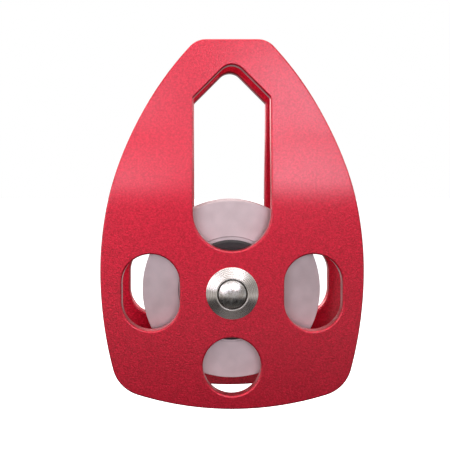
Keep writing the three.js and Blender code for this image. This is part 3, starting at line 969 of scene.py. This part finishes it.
def build_ball(number, material):
    """A ball of the bearing, drawn about its own centre and set on the ball circle."""
    half_round = curve_points(0, 0, BALL_RADIUS, -90, 90, BALL_STEPS)
    half_round[0], half_round[-1] = (0, -BALL_RADIUS), (0, BALL_RADIUS)
    points, faces, normals = revolve(half_round, BALL_SEGMENTS, closed=False)
    angle = 2 * math.pi * number / BALL_COUNT
    place = Vector((BALL_CIRCLE * math.sin(angle), 0, BALL_CIRCLE * math.cos(angle)))
    points = [Vector(p) + place for p in points]
    return make_piece(f"ball_{number + 1}", points, faces, normals, material, "ball_cage",
                      f"bearing_ball_{number + 1}")


def split_ring_loop(inner, outer, opening, lug_depth=0.0, lug_degrees=0.0):
    """Outline of a flat ring with a gap at its top, its ends thickened inwards into lugs.

    opening is half the gap, in degrees. A lug reaches lug_depth in from the ring's inner edge.
    """
    start, end = 90 + opening, 450 - opening
    outer_arc = curve_points(0, 0, outer, start, end, RING_STEPS)
    inner_arc = curve_points(0, 0, inner, end - lug_degrees, start + lug_degrees, RING_STEPS)
    corner, lug_corner = STAMPED_CORNER, 3 * STAMPED_CORNER
    corners = [(*outer_arc[0], corner), *outer_arc[1:-1], (*outer_arc[-1], corner)]
    if lug_depth == 0:
        corners += [(*inner_arc[0], corner), *inner_arc[1:-1], (*inner_arc[-1], corner)]
    else:
        lug = inner - lug_depth
        lug_arc = curve_points(0, 0, lug, end, end - lug_degrees, 1)
        corners += [(*point, lug_corner) for point in lug_arc] + inner_arc
        lug_arc = curve_points(0, 0, lug, start + lug_degrees, start, 1)
        corners += [(*point, lug_corner) for point in lug_arc]
    points, normals = rounded_profile(corners, True)
    return [(*p, *Vector(n).normalized()) for p, n in zip(points, normals)]


def build_retaining_ring(side, facing, material):
    """An internal circlip: a flat ring open at the top, with a drilled lug at each end."""
    start, end = sorted((facing * RING_START, facing * (RING_START + RING_THICKNESS)))
    loops = [split_ring_loop(RING_INNER, RING_OUTER, RING_OPENING, RING_LUG_DEPTH,
                             RING_LUG_DEGREES)]
    for turn in (-1, 1):
        angle = math.radians(90 + turn * (RING_OPENING + RING_LUG_DEGREES / 2))
        x, z = RING_INNER * math.cos(angle), RING_INNER * math.sin(angle)
        loops.append(close_loop(arc(x, z, RING_EYE_RADIUS, 0, 2 * math.pi, -1)))
    points, faces, normals = slab(loops, start, end, STAMPED_EDGE, STAMPED_STEPS, RING_GRID)
    return make_piece(f"circlip_{side}", points, outward(points, faces, normals), normals,
                      material, "sheave", f"retaining_ring_{side}")


def build_lock_washer(material):
    """A flat split spring washer."""
    start = CAP_FLOOR + GAP
    end = start + LOCK_WASHER_THICKNESS
    loop = split_ring_loop(LOCK_WASHER_INNER, LOCK_WASHER_OUTER, LOCK_WASHER_OPENING)
    points, faces, normals = slab([loop], start, end, STAMPED_EDGE, STAMPED_STEPS,
                                  LOCK_WASHER_GRID)
    return make_piece("spring_washer", points, outward(points, faces, normals), normals, material,
                      "axle", "lock_washer")


def build_axle_nut(material):
    """The domed sleeve nut with a hexagon socket sunk in its head."""
    profile, _ = rounded_profile(axle_nut_profile(), False)
    flat = SOCKET_ACROSS_FLATS / 2
    rim = profile[-1][1]
    floor = HEAD_TOP - SOCKET_DEPTH

    def hexagon(angle):
        return flat / math.cos((angle + math.pi / 6) % (math.pi / 3) - math.pi / 6)

    # Each row of vertices is its radius by angle, and its y.
    rows = [(lambda angle, r=r: r, y) for r, y in profile]
    rows += [(hexagon, rim - SOCKET_BEVEL), (hexagon, floor),
             (lambda angle: 0.0, floor - SOCKET_DRILL_POINT)]
    points, faces, indices = [], [], []
    for radius, y in rows:
        if radius(0) < TINY:
            indices.append([len(points)] * SEGMENTS)
            points.append((0, y, 0))
            continue
        indices.append(range(len(points), len(points) + SEGMENTS))
        for s in range(SEGMENTS):
            angle = 2 * math.pi * s / SEGMENTS
            r = radius(angle)
            points.append((r * math.cos(angle), y, r * math.sin(angle)))
    for row_a, row_b in zip(indices, indices[1:]):
        for s in range(SEGMENTS):
            t = (s + 1) % SEGMENTS
            corners_of_face = dict.fromkeys((row_a[s], row_b[s], row_b[t], row_a[t]))
            faces.append(tuple(corners_of_face))
    nut = make_piece("nut", points, faces, None, material, "axle", "axle_nut")
    sharpest_smooth_edge = math.radians(28)
    nut.data.set_sharp_from_angle(angle=sharpest_smooth_edge)
    return nut


def build_pulley():
    """All pieces. Only the bearing cage keeps its CAD mesh, and gets a material of its own."""
    red, aluminium, turned = red_anodised(), sheave_aluminium(), turned_steel()
    polished, ground, steel = polished_steel(), ground_steel(), bearing_steel()
    spring, bronze = spring_steel(), sintered_bronze()
    plastic, rubber = black_plastic(), black_rubber()

    for side, facing in (("front", -1), ("rear", 1)):
        build_cheek(side, facing, red)
        build_turned(f"bush_{side}", bush_profile(facing), bronze, f"{side}_cheek",
                     f"{side}_cheek_bush")
        for name, corners, material, body, slot, node in (
            ("cap", end_cap_profile(), turned, "axle", "cap_steel", "end_cap"),
            ("washer", thrust_washer_profile(), plastic, "axle", "washer_plastic",
             "thrust_washer"),
            ("spacer", spacer_profile(), ground, "axle", "plain_steel", "spacer_ring"),
            ("seal", seal_profile(), rubber, "sheave", "seal_rubber", "bearing_seal"),
        ):
            build_turned(f"{name}_{side}", facing_side(corners, facing), material, body,
                         f"{node}_{side}")
        build_retaining_ring(side, facing, spring)

    build_turned("rope_sheave", sheave_profile(), aluminium, "sheave",
                 "sheave", segments=SHEAVE_SEGMENTS)
    build_turned("outer_race", outer_race_profile(), steel, "sheave",
                 "bearing_outer_race")
    build_turned("inner_race", inner_race_profile(), steel, "axle",
                 "bearing_inner_race")
    build_turned("sleeve", sleeve_profile(), ground, "axle", "axle_sleeve")
    build_turned("bolt", axle_bolt_profile(), polished, "axle", "axle_bolt",
                 closed=False)
    build_axle_nut(polished)
    build_lock_washer(spring)
    for number in range(BALL_COUNT):
        build_ball(number, steel)
    cage_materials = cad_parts["bearing_cage"].data.materials
    cage_materials.clear()
    cage_materials.append(spring)


build_pulley()

# ----------------------------------------------------------------------------------------------
# Camera, lights and floor
# ----------------------------------------------------------------------------------------------

CAMERA_PLACE = Vector((-14.9, -280, 67.2))      # millimetres from the axle
CAMERA_TILT = 1             # degrees below the horizontal
CLIP_START = 0.01
SENSOR_WIDTH = 36
LENS = 38.62
SHIFT_X = 0.0449            # the pulley stands a little right of the middle of the frame
SHIFT_Y = -0.104            # and its middle is well below the height of the lens

FLOOR_DROP = 0.25           # metres from the pulley's lowest point down to the floor
FLOOR_SIZE = 12


def make_camera():
    data = bpy.data.cameras.new("camera")
    data.sensor_width = SENSOR_WIDTH
    data.lens = LENS
    data.shift_x, data.shift_y = SHIFT_X, SHIFT_Y
    data.clip_start = CLIP_START
    camera = bpy.data.objects.new("camera", data)
    camera.location = AXLE + CAMERA_PLACE * MM
    camera.rotation_euler = (math.radians(90 - CAMERA_TILT), 0, 0)
    bpy.context.scene.collection.objects.link(camera)
    bpy.context.scene.camera = camera


def soft_box(name, place, size, power, aim=(0, 0, 0.03), color=(1, 1, 1)):
    """A rectangular studio light at a place in metres from the axle."""
    data = bpy.data.lights.new(name, "AREA")
    data.shape = "RECTANGLE"
    data.size, data.size_y = size
    data.energy = power
    data.color = color
    light = bpy.data.objects.new(name, data)
    light.location = AXLE + Vector(place)
    light.rotation_euler = (Vector(aim) - Vector(place)).to_track_quat("-Z", "Y").to_euler()
    bpy.context.scene.collection.objects.link(light)


def make_lights():
    """Small lamps in front, which give the cheeks their bands of light, and large ones around."""
    cool = (1, 0.98, 1.14)
    soft_box("front_right", (0.25, -1.0, 0.24), (0.35, 0.25), 1.9, color=cool)
    soft_box("front_centre", (0.05, -1.0, 0.42), (0.4, 0.25), 0.4, color=cool)
    soft_box("front_left", (-0.25, -1.0, 0.22), (0.3, 0.2), 0.8, color=cool)
    soft_box("low_left", (-0.62, -1.0, 0.1), (0.4, 0.5), 1.9, color=cool)
    soft_box("left_side", (-1.1, -0.3, 0.3), (0.5, 0.9), 3)
    soft_box("right_side", (1.1, -0.3, 0.3), (0.5, 0.9), 1)
    soft_box("overhead", (0, -0.15, 1.1), (1.4, 1.2), 10)
    soft_box("rear_left", (-0.6, 1.0, 0.4), (0.7, 0.6), 5)
    soft_box("rear_right", (0.7, 1.0, 0.3), (0.5, 0.5), 3)


# Brightness of the studio that the metal reflects, by elevation in degrees.
STUDIO_SHADES = ((-90, 0.2), (-60, 0.1), (-42, 0), (-28, 0), (-18, 0.66), (-8, 0.3), (4, 0.2),
                 (15, 0.58), (30, 0.74), (50, 0.6), (90, 0.62))


def make_world():
    """White where the camera sees it, and the studio's shades where the metal reflects it."""
    world = bpy.data.worlds.new("studio")
    bpy.context.scene.world = world
    world.use_nodes = True
    nodes, links = world.node_tree.nodes, world.node_tree.links
    background = nodes["Background"]
    background.inputs["Strength"].default_value = 1
    direction = nodes.new("ShaderNodeTexCoord")
    split = nodes.new("ShaderNodeSeparateXYZ")
    ramp = nodes.new("ShaderNodeValToRGB")
    height = nodes.new("ShaderNodeMapRange")
    height.inputs["From Min"].default_value = -1
    links.new(direction.outputs["Generated"], split.inputs["Vector"])
    links.new(split.outputs["Z"], height.inputs["Value"])
    links.new(height.outputs["Result"], ramp.inputs["Fac"])
    while len(ramp.color_ramp.elements) < len(STUDIO_SHADES):
        ramp.color_ramp.elements.new(0.5)
    for element, (elevation, shade) in zip(ramp.color_ramp.elements, STUDIO_SHADES):
        element.position = (math.sin(math.radians(elevation)) + 1) / 2
        element.color = (shade, shade, shade, 1)
    path = nodes.new("ShaderNodeLightPath")
    mix = nodes.new("ShaderNodeMix")
    mix.data_type = "RGBA"
    links.new(path.outputs["Is Camera Ray"], mix.inputs["Factor"])
    links.new(ramp.outputs["Color"], mix.inputs[MIX_A])
    mix.inputs[MIX_B].default_value = (1, 1, 1, 1)
    links.new(mix.outputs[MIX_RESULT], background.inputs["Color"])


def make_floor():
    """A pale floor that only the camera sees, so the metal reflects the studio's own shading."""
    floor_height = cad_bounds[0][2] - FLOOR_DROP
    bpy.ops.mesh.primitive_plane_add(size=FLOOR_SIZE, location=(0, 0, floor_height))
    floor = bpy.context.object
    floor.name = "floor"
    finish = Finish("floor", (0.9, 0.9, 0.9), 0, 0.9)
    finish.set(Emission_Color=(1, 1, 1, 1), Emission_Strength=0.7)
    floor.data.materials.append(finish.material)
    floor.visible_glossy = False
    floor.visible_diffuse = False


make_camera()
make_lights()
make_world()
make_floor()
bpy.context.scene.view_settings.view_transform = "Standard"
